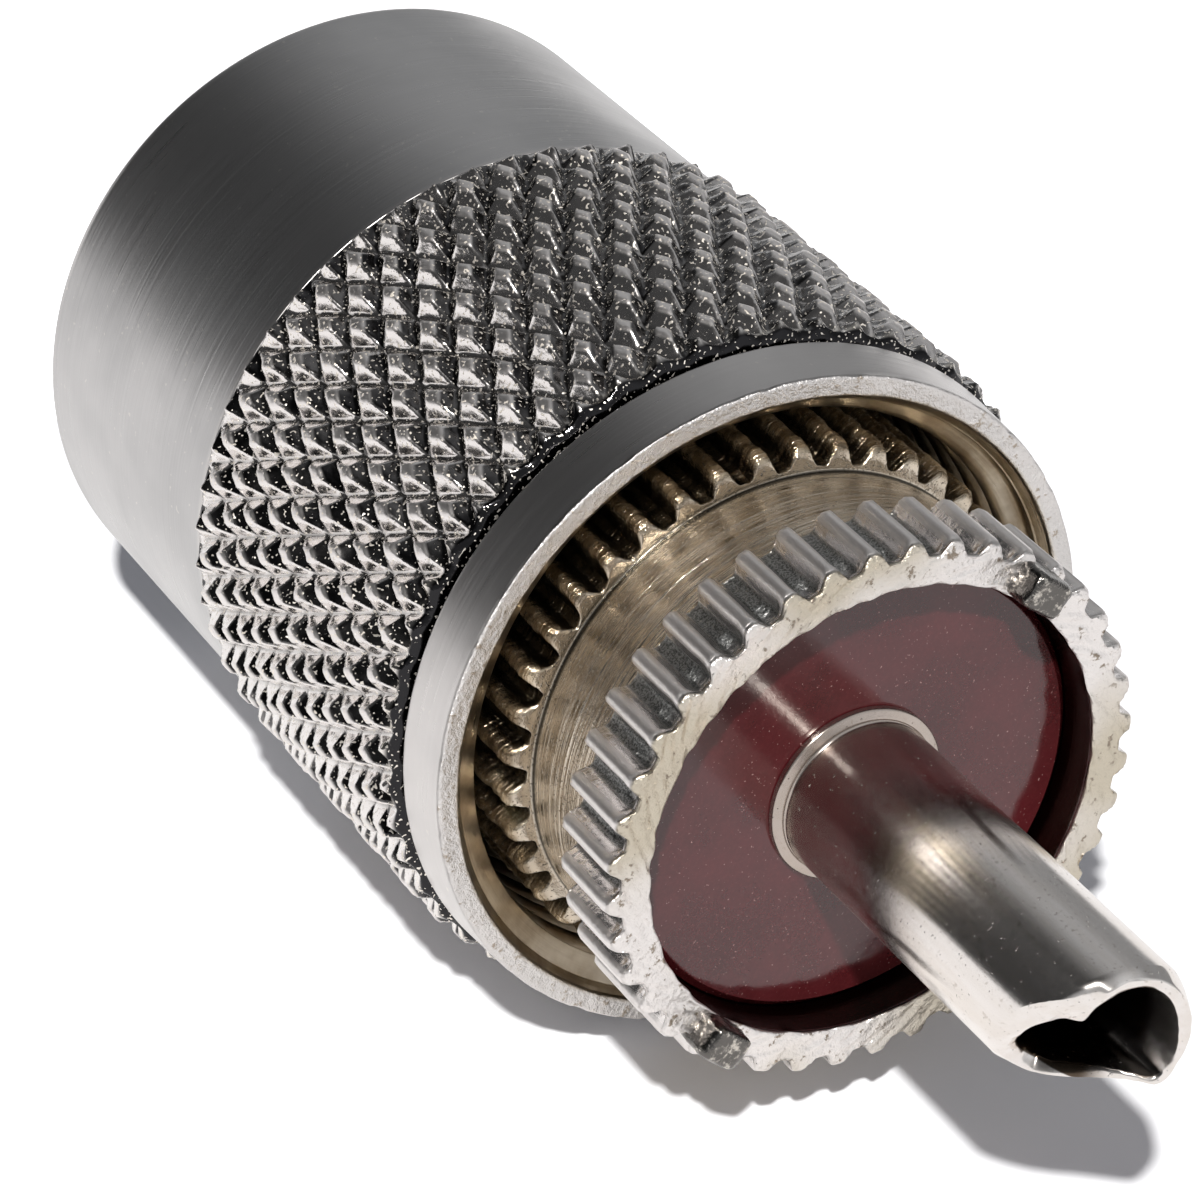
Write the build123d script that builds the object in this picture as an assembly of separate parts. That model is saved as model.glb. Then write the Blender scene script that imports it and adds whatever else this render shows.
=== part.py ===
from build123d import *
from math import cos, pi, radians, sin
import os

# A male UHF coaxial plug with a screw-on coupling nut, standing on its rear end.
# +Z runs along the plug's axis towards the contact pin, and +X points at one index lug.
# The origin is the middle of the rear face. All sizes are in millimetres and degrees.

# Plug body, outside, from the rear face up
barrel_radius = 6.40
barrel_length = 9.00
waist_radius = 6.10
waist_length = 10.50
spline_crest_radius = 7.00
spline_root_radius = 6.52
flange_length = 3.40
neck_radius = 6.30
neck_length = 2.60
collar_length = 2.20
rim_round = 0.25

# Straight spline on the flange and the collar
spline_teeth = 40
crest_share = 0.27
root_share = 0.52
spline_turn = 2.6

# Plug body, inside
cable_bore_radius = 5.20
cable_bore_depth = 11.00
solder_bore_radius = 4.60
solder_holes = 4
solder_hole_radius = 1.40
solder_hole_height = 13.60
mouth_chamfer = 0.08

# Index lugs on the collar's front face
lugs = 2
lug_width = 1.25
lug_height = 0.75
lug_round = 0.35

# Insulator
insulator_radius = 5.85
insulator_recess = 1.04
insulator_head = 1.80
insulator_stem_radius = 5.00
insulator_length = 8.20
insulator_bevel = 0.20
fit_clearance = 0.02

# Contact pin
pin_radius = 1.98
pin_stem_radius = 2.18
pin_bore_radius = 1.50
pin_reach = 9.14
pin_bead_radius = 2.25
pin_bead_height = 0.27
pin_foot_radius = 3.00
pin_foot_height = 0.80

# Pin mouth, crimped to a heart and cut aslant
crimp_length = 1.60
crimp_blend = 1.10
crimp_turn = 82.0
mouth_slope = 0.72
mouth_turn = -24.0
notch_share = 0.50
lobe_share = (0.52, 0.79)
side_share = (0.92, 0.28)
flank_share = (0.62, -0.52)
point_share = -0.95

# Coupling nut
nut_set_back = 4.95
nut_length = 21.85
nut_shell_radius = 8.76
nut_shell_length = 9.27
nut_shell_round = 0.30
undercut_radius = 8.42
undercut_width = 0.25
ring_length = 1.65
ring_rear_radius = 8.72
ring_front_radius = 8.62
thread_minor_radius = 7.40
thread_mouth_radius = 8.16
nut_bore_depth = 14.80
running_clearance = 0.08

# Diamond knurl on the coupling nut
knurl_starts = 52
knurl_crest_radius = 9.10
knurl_depth = 0.42
knurl_half_rows = 11

# Heights that follow from the sizes above
flange_base = barrel_length + waist_length
neck_base = flange_base + flange_length
collar_base = neck_base + neck_length
collar_front = collar_base + collar_length
insulator_front = collar_front - insulator_recess
insulator_base = insulator_front - insulator_length
head_base = insulator_front - insulator_head
pin_middle = collar_front + pin_reach
nut_front = collar_front - nut_set_back
nut_base = nut_front - nut_length
knurl_base = nut_base + nut_shell_length
ring_base = nut_front - ring_length
knurl_top = ring_base - undercut_width
nut_shoulder = nut_front - nut_bore_depth


def turned(*points):
    """A solid of revolution about Z from its half section, given as (radius, height) points."""
    section = make_face(Polyline(*points, close=True))
    return revolve(Plane.XZ * section, Axis.Z)


def on_circle(radius, angle, height):
    """A point at a radius, an angle in degrees and a height."""
    return (radius * cos(radians(angle)), radius * sin(radians(angle)), height)


def spline_band(low, high):
    """A band of straight teeth with flat roots, as a filled gear-like slab."""
    pitch = 360 / spline_teeth
    outline = []
    for tooth in range(spline_teeth):
        groove = spline_turn + tooth * pitch
        for radius, offset in (
            (spline_root_radius, -root_share / 2),
            (spline_root_radius, root_share / 2),
            (spline_crest_radius, (1 - crest_share) / 2),
            (spline_crest_radius, (1 + crest_share) / 2),
        ):
            outline.append(on_circle(radius, groove + offset * pitch, low)[:2])
    return extrude(Plane.XY.offset(low) * make_face(Polyline(*outline, close=True)), high - low)


def rounded_blank(low, high, radius, front_round, rear_round):
    """A disc with rounded rims, which the splined bands are trimmed to."""
    with BuildPart() as blank:
        with Locations((0, 0, low)):
            Cylinder(radius, high - low, align=(Align.CENTER, Align.CENTER, Align.MIN))
        rims = blank.edges().filter_by(GeomType.CIRCLE).sort_by(Axis.Z)
        fillet(rims[-1], front_round)
        fillet(blank.edges().filter_by(GeomType.CIRCLE).sort_by(Axis.Z)[0], rear_round)
    return blank.part


def index_lug(angle):
    """A rounded key that stands forward of the collar's face, across the wall of the bore."""
    seat = insulator_radius + fit_clearance
    wall = spline_crest_radius - rim_round - seat
    key = Box(wall, lug_width, lug_height + rim_round, align=(Align.MIN, Align.CENTER, Align.MIN))
    key = fillet(key.edges().filter_by(Axis.X).group_by(Axis.Z)[-1], lug_round)
    key = Pos(seat, 0, collar_front - rim_round) * key
    key = key - Cylinder(seat, 4 * collar_front)
    return Rot(0, 0, angle) * key


def plug_body():
    """Barrel, waist, splined flange, neck and splined collar, turned and cut from one bar."""
    blank = turned(
        (0, 0),
        (barrel_radius, 0),
        (barrel_radius, barrel_length),
        (waist_radius, barrel_length),
        (waist_radius, flange_base),
        (neck_radius, flange_base),
        (neck_radius, collar_base + collar_length / 2),
        (0, collar_base + collar_length / 2),
    )
    flange = spline_band(flange_base, neck_base) & rounded_blank(
        flange_base, neck_base, spline_crest_radius, rim_round / 2, rim_round
    )
    collar = spline_band(collar_base, collar_front) & rounded_blank(
        collar_base, collar_front, spline_crest_radius, rim_round, rim_round / 2
    )
    body = blank + flange + collar
    seat = insulator_radius + fit_clearance
    stem = insulator_stem_radius + fit_clearance
    body -= turned(
        (0, 0),
        (cable_bore_radius, 0),
        (cable_bore_radius, cable_bore_depth),
        (solder_bore_radius, cable_bore_depth),
        (solder_bore_radius, insulator_base),
        (stem, insulator_base),
        (stem, head_base),
        (seat, head_base),
        (seat, collar_front - mouth_chamfer),
        (seat + mouth_chamfer, collar_front),
        (0, collar_front),
    )
    hole = Cylinder(solder_hole_radius, barrel_radius * 2, align=(Align.CENTER, Align.CENTER, Align.MIN))
    for number in range(solder_holes):
        angle = 360 / solder_holes * (number + 0.5)
        body -= Pos(0, 0, solder_hole_height) * Rot(0, 0, angle) * Rot(0, 90, 0) * hole
    for number in range(lugs):
        body += index_lug(360 / lugs * number)
    return body


def insulator():
    """Moulded phenolic plug: a wide bevelled head and a narrower stem round the pin."""
    hole = pin_stem_radius + fit_clearance
    return turned(
        (hole, insulator_base),
        (insulator_stem_radius, insulator_base),
        (insulator_stem_radius, head_base),
        (insulator_radius, head_base),
        (insulator_radius, insulator_front - insulator_bevel),
        (insulator_radius - insulator_bevel, insulator_front),
        (hole, insulator_front),
    )


def heart(size):
    """The crimped mouth's outline: two lobes, a notch and a point, for a tube of this radius."""
    notch = (0, notch_share * size)
    point = (0, point_share * size)
    side = [(x * size, y * size) for x, y in (lobe_share, side_share, flank_share)]
    right = Spline(notch, *side, point)
    left = Spline(notch, *[(-x, y) for x, y in side], point)
    return make_face([right, left])


def round_section(size):
    """A circle in two halves that meet where the heart has its notch and its point."""
    right = ThreePointArc((0, size), (size, 0), (0, -size))
    left = ThreePointArc((0, size), (-size, 0), (0, -size))
    return make_face([right, left])


def crimped(size, low, high):
    """A bar that turns from round to heart-shaped above its low end and stays so up to its high end."""
    full = Plane.XY.offset(low + crimp_blend) * heart(size)
    bar = loft([Plane.XY.offset(low) * round_section(size), full])
    bar += extrude(full, high - low - crimp_blend, dir=(0, 0, 1))
    return Rot(0, 0, crimp_turn - 90) * bar


def contact_pin():
    """Hollow pin with a foot behind the insulator, a bead in front of it and a crimped mouth."""
    foot_base = insulator_base - pin_foot_height
    crimp_base = pin_middle - crimp_length
    slack = mouth_slope * pin_radius
    bead_top = insulator_front + pin_bead_height
    stem = turned(
        (0, foot_base),
        (pin_foot_radius, foot_base),
        (pin_foot_radius, insulator_base),
        (pin_stem_radius, insulator_base),
        (pin_stem_radius, insulator_front),
        (pin_bead_radius, insulator_front),
        (pin_bead_radius, (insulator_front + bead_top) / 2),
        (pin_radius, bead_top),
        (pin_radius, crimp_base),
        (0, crimp_base),
    )
    outside = stem + crimped(pin_radius, crimp_base, pin_middle + slack)
    bore = Pos(0, 0, foot_base) * Cylinder(
        pin_bore_radius, crimp_base - foot_base, align=(Align.CENTER, Align.CENTER, Align.MIN)
    )
    inside = bore + crimped(pin_bore_radius, crimp_base, pin_middle + slack)
    pin = outside - inside
    rise = (cos(radians(mouth_turn)), sin(radians(mouth_turn)))
    normal = (-mouth_slope * rise[0], -mouth_slope * rise[1], 1)
    mouth = Plane(origin=(0, 0, pin_middle), z_dir=normal)
    return split(pin, bisect_by=mouth, keep=Keep.BOTTOM)


def knurl_sleeve(inner):
    """A ring with a diamond knurl outside: flat-sided pyramids between crossing grooves."""
    step = 360 / knurl_starts
    row_height = (knurl_top - knurl_base) / knurl_half_rows
    root = knurl_crest_radius - knurl_depth

    def node(column, row, radius):
        return on_circle(radius, column * step / 2, knurl_base + row * row_height)

    def rim_point(column, row):
        crest = (column + row) % 2 == 1
        return node(column, row, knurl_crest_radius if crest else root)

    faces = []
    columns = range(2 * knurl_starts)
    for row in range(knurl_half_rows + 1):
        for column in columns:
            if (column + row) % 2 == 0:
                continue
            left = node(column - 1, row, root)
            right = node(column + 1, row, root)
            crest = node(column, row, knurl_crest_radius)
            if row > 0:
                low = node(column, row - 1, root)
                faces.append((left, low, crest))
                faces.append((low, right, crest))
            if row < knurl_half_rows:
                high = node(column, row + 1, root)
                faces.append((right, high, crest))
                faces.append((high, left, crest))
    skin = [Face(Wire.make_polygon(list(corners), close=True)) for corners in faces]
    for row in (0, knurl_half_rows):
        height = knurl_base + row * row_height
        rim = Wire.make_polygon([rim_point(column, row) for column in columns], close=True)
        skin.append(Face(rim, [Wire.make_circle(inner, Plane.XY.offset(height))]))
    wall = Cylinder(inner, knurl_top - knurl_base, align=(Align.CENTER, Align.CENTER, Align.MIN))
    wall = Pos(0, 0, knurl_base) * wall
    skin.append(wall.faces().filter_by(GeomType.CYLINDER)[0])
    return Solid(Shell(skin))


def coupling_nut():
    """Smooth shell, diamond knurl, undercut and tapered front ring round a threaded bore."""
    rear_bore = barrel_radius + running_clearance
    wall = (undercut_radius + thread_minor_radius) / 2
    mouth = thread_mouth_radius - thread_minor_radius
    shell = turned(
        (rear_bore, nut_base),
        (nut_shell_radius - nut_shell_round, nut_base),
        (nut_shell_radius, nut_base + nut_shell_round),
        (nut_shell_radius, knurl_base),
        (wall, knurl_base),
        (wall, knurl_top),
        (undercut_radius, knurl_top),
        (undercut_radius, ring_base),
        (ring_rear_radius, ring_base),
        (ring_front_radius, nut_front),
        (thread_mouth_radius, nut_front),
        (thread_minor_radius, nut_front - mouth),
        (thread_minor_radius, nut_shoulder),
        (rear_bore, nut_shoulder),
    )
    return shell + knurl_sleeve(wall)


nodes = {
    "coupling_nut": coupling_nut(),
    "plug_body": plug_body(),
    "insulator": insulator(),
    "contact_pin": contact_pin(),
}

os.makedirs("parts", exist_ok=True)
for name, solid in nodes.items():
    print(name, "volume", round(solid.volume, 1), "solids", len(solid.solids()), "valid", solid.is_valid)
    export_step(solid, f"parts/{name}.step")
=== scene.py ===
# %% [markdown]
# # A UHF coaxial plug
# The plug is a small turned and nickel-plated part: a coupling nut with a diamond knurl, a splined
# body, a dark red phenolic insulator and a hollow contact pin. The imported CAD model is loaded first.
# It fixes every size and place. Each visible piece is then made finer than its CAD solid, in the
# same frame, and rides on the same body.

# %% Load the frame
import math

import bpy
import numpy as np
from mathutils import Matrix, Vector


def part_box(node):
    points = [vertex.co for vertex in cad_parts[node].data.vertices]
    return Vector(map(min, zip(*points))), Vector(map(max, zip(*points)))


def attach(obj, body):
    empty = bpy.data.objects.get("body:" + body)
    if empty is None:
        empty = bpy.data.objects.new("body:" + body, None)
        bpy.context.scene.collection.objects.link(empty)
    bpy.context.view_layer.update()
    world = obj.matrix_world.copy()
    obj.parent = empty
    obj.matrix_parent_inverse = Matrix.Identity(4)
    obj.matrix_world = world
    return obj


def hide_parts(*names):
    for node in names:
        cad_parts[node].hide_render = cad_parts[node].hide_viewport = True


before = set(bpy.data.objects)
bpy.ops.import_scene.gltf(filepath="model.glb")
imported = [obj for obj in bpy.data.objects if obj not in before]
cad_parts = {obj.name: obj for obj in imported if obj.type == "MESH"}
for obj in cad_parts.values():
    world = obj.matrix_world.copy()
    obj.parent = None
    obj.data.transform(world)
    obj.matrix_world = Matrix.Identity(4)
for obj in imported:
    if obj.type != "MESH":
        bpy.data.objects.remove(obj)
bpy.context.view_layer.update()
MM = 0.001
nut_low, nut_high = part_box("coupling_nut")
body_low, body_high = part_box("plug_body")
insulator_low, insulator_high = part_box("insulator")
pin_low, pin_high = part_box("contact_pin")
print("nut", [round(v / MM, 2) for v in (*nut_low, *nut_high)])
print("pin", [round(v / MM, 2) for v in (*pin_low, *pin_high)])

# %% [markdown]
# ## The camera
# The photograph looks at the plug from the pin's side, with the plug's axis running down to the
# right. The camera was fitted to the circles in the photograph, so its place, its aim, its roll and
# its lens are written here as they came out. A Track To constraint would undo the roll, so the
# camera's three axes are worked out and put straight into its matrix.

# %% Camera
camera_place = Vector((15.52, 77.47, 102.80)) * MM
camera_aim = Vector((-0.89, 0.19, 16.00)) * MM
camera_roll = math.radians(-134.27)
lens_mm = 144.0

forward = (camera_aim - camera_place).normalized()
level_right = forward.cross(Vector((0, 0, 1))).normalized()
level_up = level_right.cross(forward)
camera_up = level_up * math.cos(camera_roll) + level_right * math.sin(camera_roll)
camera_right = forward.cross(camera_up)
turn = Matrix((camera_right, camera_up, -forward)).transposed().to_4x4()

camera_data = bpy.data.cameras.new("photo_camera")
camera_data.sensor_width = 36
camera_data.lens = lens_mm
camera_data.clip_start = 0.001
camera = bpy.data.objects.new("photo_camera", camera_data)
camera.matrix_world = Matrix.Translation(camera_place) @ turn
bpy.context.scene.collection.objects.link(camera)
bpy.context.scene.camera = camera
bpy.context.scene.view_settings.view_transform = "Standard"
print("camera distance", round((camera_place - camera_aim).length / MM, 1), "mm")

# %% [markdown]
# ## Shader maths in Python
# A procedural finish is mostly arithmetic on positions. Adding Math nodes by hand is slow to read, so
# one small class wraps a socket. An expression such as `ridge * 0.5 + 0.1` then adds its Math nodes.
# Any other node comes from one method, which takes the node's type, its settings and its inputs.


# %% The shader class
class Wire:
    """A node output that can be used in arithmetic: each operator adds one Math node."""

    def __init__(self, graph, socket):
        self.graph = graph
        self.socket = socket

    def _math(self, operation, *values):
        return self.graph.node("ShaderNodeMath", {"operation": operation}, dict(enumerate(values)))

    def __add__(self, other):
        return self._math("ADD", self, other)

    def __sub__(self, other):
        return self._math("SUBTRACT", self, other)

    def __mul__(self, other):
        return self._math("MULTIPLY", self, other)

    def __truediv__(self, other):
        return self._math("DIVIDE", self, other)

    def __rsub__(self, other):
        return self._math("SUBTRACT", other, self)

    def __pow__(self, other):
        return self._math("POWER", self, other)

    __radd__ = __add__
    __rmul__ = __mul__

    def ramp(self, low, high, to_low=0.0, to_high=1.0):
        """A smooth step: to_low below low, to_high above high."""
        return self.graph.node(
            "ShaderNodeMapRange",
            {"interpolation_type": "SMOOTHSTEP"},
            {0: self, 1: low, 2: high, 3: to_low, 4: to_high},
        )


class Graph:
    """The node tree of a material or of the world."""

    def __init__(self, owner):
        self.name = owner.name
        owner.use_nodes = True
        self.tree = owner.node_tree
        self.tree.nodes.clear()

    def node(self, kind, settings=None, inputs=None, output=0):
        """Add a node: its settings are set first, then its inputs by number or name."""
        made = self.tree.nodes.new(kind)
        for key, value in (settings or {}).items():
            setattr(made, key, value)
        for key, value in (inputs or {}).items():
            socket = made.inputs[key]
            if isinstance(value, Wire):
                self.tree.links.new(value.socket, socket)
            elif isinstance(value, (tuple, list)) and len(value) == 3 and socket.type == "RGBA":
                socket.default_value = (*value, 1)
            else:
                socket.default_value = value
        return Wire(self, made.outputs[output]) if made.outputs else None

    def place(self):
        """Object coordinates as a vector and as its three parts, in metres."""
        vector = self.node("ShaderNodeTexCoord", output="Object")
        parts = [self.node("ShaderNodeSeparateXYZ", None, {0: vector}, output=n) for n in range(3)]
        return vector, parts

    def noise(self, vector, scale, detail=2.0, roughness=0.5, stretch=(1, 1, 1)):
        """A cloudy value from 0 to 1; stretch squeezes the pattern along an axis."""
        moved = self.node("ShaderNodeVectorMath", {"operation": "MULTIPLY"}, {0: vector, 1: stretch})
        return self.node(
            "ShaderNodeTexNoise",
            None,
            {"Vector": moved, "Scale": scale, "Detail": detail, "Roughness": roughness},
        )

    def mix(self, amount, low, high):
        """A colour between two colours."""
        return self.node(
            "ShaderNodeMix", {"data_type": "RGBA"}, {0: amount, 6: low, 7: high}, output=2
        )

    def bump(self, height, distance, strength=1.0, normal=None):
        """A normal tilted by the slope of a height value; distance is its full height in millimetres."""
        inputs = {"Height": height, "Distance": distance * MM, "Strength": strength}
        if normal is not None:
            inputs["Normal"] = normal
        return self.node("ShaderNodeBump", None, inputs)

    def surface(self, **inputs):
        """Principled BSDF joined to the output; names use _ for a space."""
        named = {key.replace("_", " "): value for key, value in inputs.items()}
        shader = self.node("ShaderNodeBsdfPrincipled", None, named)
        self.node("ShaderNodeOutputMaterial", None, {"Surface": shader})
        print(self.name, "nodes", len(self.tree.nodes))


def new_material(name):
    """A named material with an empty node tree."""
    material = bpy.data.materials.new(name)
    return material, Graph(material)


# %% [markdown]
# ## Light, floor and backdrop
# The photograph was taken on a white table in a dark room, with one small lamp high on the camera's
# side. That gives the metal its look: white where it mirrors the table, near black where it mirrors
# the room, and hard sparkles from the lamp. The shadows gave the lamp's direction. The plug stands on
# a white floor here. A white backdrop touches the knurl on the side where the photograph's table was.
# It is clear from behind, so the plug can be looked at from every side. The floor has a slot beside the
# plug's foot, where the photograph's shadow lies lower than the floor.

# %% Directions
table_azimuth = math.radians(40.17)
away_from_table = Vector((math.cos(table_azimuth), math.sin(table_azimuth), 0))
along_table = Vector((math.sin(table_azimuth), -math.cos(table_azimuth), 0))
lamp_direction = Vector((0.365, 0.770, 0.523)).normalized()
print("lamp height above the table", round(math.degrees(math.asin(lamp_direction @ away_from_table)), 1))

# %% Lamp
lamp_data = bpy.data.lights.new("lamp", "SUN")
lamp_data.energy = 3.6
lamp_data.angle = math.radians(2.2)
lamp_data.color = (1.0, 0.985, 0.96)
print("lamp strength", lamp_data.energy)
lamp = bpy.data.objects.new("lamp", lamp_data)
lamp.rotation_euler = lamp_direction.to_track_quat("Z", "Y").to_euler()
bpy.context.scene.collection.objects.link(lamp)

# %% The room as the metal sees it
world = bpy.data.worlds.new("dark_room")
bpy.context.scene.world = world
room = Graph(world)
ray = room.node("ShaderNodeTexCoord", output="Generated")


def facing(direction):
    """Cosine between the looked-at direction and a fixed one."""
    return room.node(
        "ShaderNodeVectorMath", {"operation": "DOT_PRODUCT"}, {0: ray, 1: tuple(direction)}, output="Value"
    )


sideways = facing(along_table)
overhead = facing(away_from_table)
ahead = facing((0, 0, 1))
behind_wall = sideways.ramp(-0.20, 0.42, 0.045, 0.38) - sideways.ramp(0.44, 0.72, 0.0, 0.11)
front_wall = ahead.ramp(0.15, 0.75, 0.0, 0.35)
below = overhead.ramp(-0.05, 0.05, 1.0, 0.0)
table_light = 1.14
room_light = (behind_wall + front_wall) * (1 - below) + below * table_light
room_colour = room.mix(below, (0.96, 0.98, 1.0), (1.0, 0.968, 0.958))
looked_at = room.node("ShaderNodeLightPath", output="Is Camera Ray")
mirrored = room.node("ShaderNodeLightPath", output="Is Glossy Ray")
ambient = 0.20
strength = mirrored * room_light + (1 - mirrored) * ambient
strength = looked_at * 1.0 + (1 - looked_at) * strength
room_colour = room.mix(mirrored, (0.94, 0.96, 1.04), room_colour)
colour = room.mix(looked_at, room_colour, (1, 1, 1))
sky = room.node("ShaderNodeBackground", None, {"Color": colour, "Strength": strength})
room.node("ShaderNodeOutputWorld", None, {"Surface": sky})
print("room nodes", len(room.tree.nodes))


# %% Floor and backdrop
def sheet_of_paper(name, corners, faces, one_sided, shown_white):
    """A flat white stage sheet; a one-sided sheet is clear when it is seen from behind."""
    mesh = bpy.data.meshes.new(name)
    mesh.from_pydata([tuple(c) for c in corners], [], faces)
    sheet = bpy.data.objects.new(name, mesh)
    bpy.context.scene.collection.objects.link(sheet)
    material, graph = new_material(name + "_white")
    seen = graph.node("ShaderNodeLightPath", output="Is Camera Ray")
    shown = (shown_white * 0.97, shown_white * 0.98, shown_white * 1.01)
    tone = graph.mix(seen, (0.93, 0.93, 0.935), shown)
    white = graph.node("ShaderNodeBsdfDiffuse", None, {"Color": tone})
    if one_sided:
        back = graph.node("ShaderNodeNewGeometry", output="Backfacing")
        clear = graph.node("ShaderNodeBsdfTransparent")
        white = graph.node("ShaderNodeMixShader", None, {0: back, 1: white, 2: clear})
    graph.node("ShaderNodeOutputMaterial", None, {"Surface": white})
    mesh.materials.append(material)
    return sheet


reach = 1.2
touch = -away_from_table * nut_high.x
up = Vector((0, 0, reach))
side = along_table * reach
backdrop = sheet_of_paper(
    "backdrop",
    [touch + side - up, touch - side - up, touch - side + up, touch + side + up],
    [(0, 1, 2, 3)],
    one_sided=True,
    shown_white=1.12,
)
wide = [
    along_table * a * reach + away_from_table * b * reach
    for a, b in ((-1, -1), (1, -1), (1, 1), (-1, 1))
]
# The slot's ends along the table and its edge away from it, in millimetres
slot_far, slot_near, slot_edge = -16, -3.6, -1.6
slot = [
    along_table * a * MM + away_from_table * b * MM
    for a, b in (
        (slot_far, -nut_high.x / MM),
        (slot_near, -nut_high.x / MM),
        (slot_near, slot_edge),
        (slot_far, slot_edge),
    )
]
floor = sheet_of_paper(
    "floor",
    wide + slot,
    [(k, (k + 1) % 4, 4 + (k + 1) % 4, 4 + k) for k in range(4)],
    one_sided=False,
    shown_white=1.75,
)
floor.visible_glossy = False
floor.visible_diffuse = False
floor.visible_shadow = False
backdrop.visible_shadow = False
print("backdrop faces the plug:", backdrop.data.polygons[0].normal @ away_from_table > 0)

# %% [markdown]
# ## Turned pieces as grids
# A turned part is a half section carried round an axis. The section is written as corners with a
# rounding radius each. A helper walks it and gives closely spaced points. Numpy then carries those
# points round Z as one array. Because the radius may depend on the angle, splines, knurls and threads
# are made in the same way as a plain shell.


# %% Section and grid helpers
def section(corners, steps=5, guard=0.03):
    """Closed half section with rounded corners.

    corners holds (radius, height, rounding, divisions of the run that follows). Each corner becomes an
    arc of a few points, and each run gets a point close to its two ends, so that the shading stays flat.
    """
    corners = [tuple(map(float, c)) for c in corners]
    count = len(corners)
    starts, ends, arcs = [], [], []
    for i in range(count):
        here = np.array(corners[i][:2])
        before = np.array(corners[i - 1][:2])
        after = np.array(corners[(i + 1) % count][:2])
        rounding = corners[i][2]
        arrive = (here - before) / np.linalg.norm(here - before)
        leave = (after - here) / np.linalg.norm(after - here)
        bend = math.acos(max(-1, min(1, float(arrive @ leave))))
        cut = rounding * math.tan(bend / 2)
        a, b = here - arrive * cut, here + leave * cut
        t = np.linspace(0, 1, steps + 1)[:, None]
        arcs.append((1 - t) ** 2 * a + 2 * t * (1 - t) * here + t**2 * b if cut > 1e-6 else here[None])
        starts.append(b)
        ends.append(a)
    points = []
    for i in range(count):
        points.append(arcs[i])
        a, b = starts[i], ends[(i + 1) % count]
        length = np.linalg.norm(b - a)
        inner = list(np.linspace(0, 1, max(1, int(corners[i][3])) + 1)[1:-1])
        if length > 4 * guard:
            inner = sorted(inner + [guard / length, 1 - guard / length])
        if inner:
            t = np.array(inner)[:, None]
            points.append(a + (b - a) * t)
    return np.concatenate(points)


def closed_grid(name, points, body, replaced=None):
    """A mesh piece from points[row, column, xyz] in millimetres that wraps both ways."""
    rows, columns = points.shape[:2]
    index = np.arange(rows * columns).reshape(rows, columns)
    down = np.roll(index, -1, 0)
    faces = np.stack([index, np.roll(index, -1, 1), np.roll(down, -1, 1), down], -1).reshape(-1, 4)
    return piece_from(name, points.reshape(-1, 3), faces, body, replaced)


def piece_from(name, vertices, faces, body, replaced=None):
    """A smooth-shaded piece that rides on a body.

    The sum over the faces of a corner times the cross product of the next two is six times the volume.
    Where it is negative the faces point inwards, so their corners are taken in the other order.
    """
    vertices = np.asarray(vertices, float) * MM
    a, b, c = (vertices[faces[:, k]] for k in range(3))
    d = vertices[faces[:, -1]]
    volume = np.einsum("ij,ij->i", a, np.cross(b, c)).sum() + np.einsum("ij,ij->i", a, np.cross(c, d)).sum()
    if volume < 0:
        faces = faces[:, ::-1]
    mesh = bpy.data.meshes.new(name)
    size = faces.shape[1]
    mesh.vertices.add(len(vertices))
    mesh.vertices.foreach_set("co", vertices.astype(np.float32).ravel())
    mesh.loops.add(faces.size)
    mesh.loops.foreach_set("vertex_index", faces.astype(np.int32).ravel())
    mesh.polygons.add(len(faces))
    mesh.polygons.foreach_set("loop_start", np.arange(0, faces.size, size, dtype=np.int32))
    mesh.update(calc_edges=True)
    mesh.validate()
    mesh.shade_smooth()
    piece = bpy.data.objects.new(name, mesh)
    bpy.context.scene.collection.objects.link(piece)
    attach(piece, body)
    if replaced:
        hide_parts(replaced)
    print(name, "triangles", len(faces) * (size - 2))
    return piece


def wheel(radius, height, angle):
    """Points of a turned piece as one array.

    x is the radius times the cosine of the angle, y is the radius times its sine, and z is the height.
    """
    radius, height, angle = np.broadcast_arrays(radius, height, angle)
    return np.stack([radius * np.cos(angle), radius * np.sin(angle), height], -1)


def smooth_step(value, low, high):
    """0 below low, 1 above high, and between them three t squared less two t cubed."""
    t = np.clip((value - low) / (high - low), 0, 1)
    return t * t * (3 - 2 * t)


def ripple(angle, height, seed, terms=9, fastest=40):
    """A repeatable uneven wave round the axis, about -1 to 1: a sum of sines with set phases."""
    chance = np.random.default_rng(seed)
    total = 0
    for _ in range(terms):
        turns = chance.integers(2, fastest)
        total = total + np.sin(turns * angle + chance.uniform(1, 9) * height + chance.uniform(0, 6.28))
    return total / math.sqrt(terms)


# %% [markdown]
# ## Coupling nut: shell, front ring and thread
# The nut is turned from bar. Its rear shell is smooth, the front ring tapers a little, and a 5/8-24
# thread of 1.058 mm pitch runs inside. The thread is a helix, so its height above the minor diameter
# is a triangle wave of height minus turn. The rim is not perfect: it carries small nicks, which are a
# repeatable uneven wave on its edge.

# %% Nut sizes in millimetres
nut_front = nut_high.z / MM
nut_base = nut_low.z / MM
shell_radius = 8.76
sliding_bore = 6.48
knurl_base = nut_base + 9.27
ring_base = nut_front - 1.65
ring_radius = 8.72
ring_front_radius = 8.62
rim_inside = 8.14
mouth_bore = 7.92
knurl_top = ring_base - 0.25
core_radius = 8.30
undercut_radius = 8.42
thread_pitch = 1.058
thread_minor = 7.40
thread_depth = 0.56
thread_run_in = 1.20
nut_shoulder = nut_front - 14.80
print("knurl from", round(knurl_base, 2), "to", round(knurl_top, 2))

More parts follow.
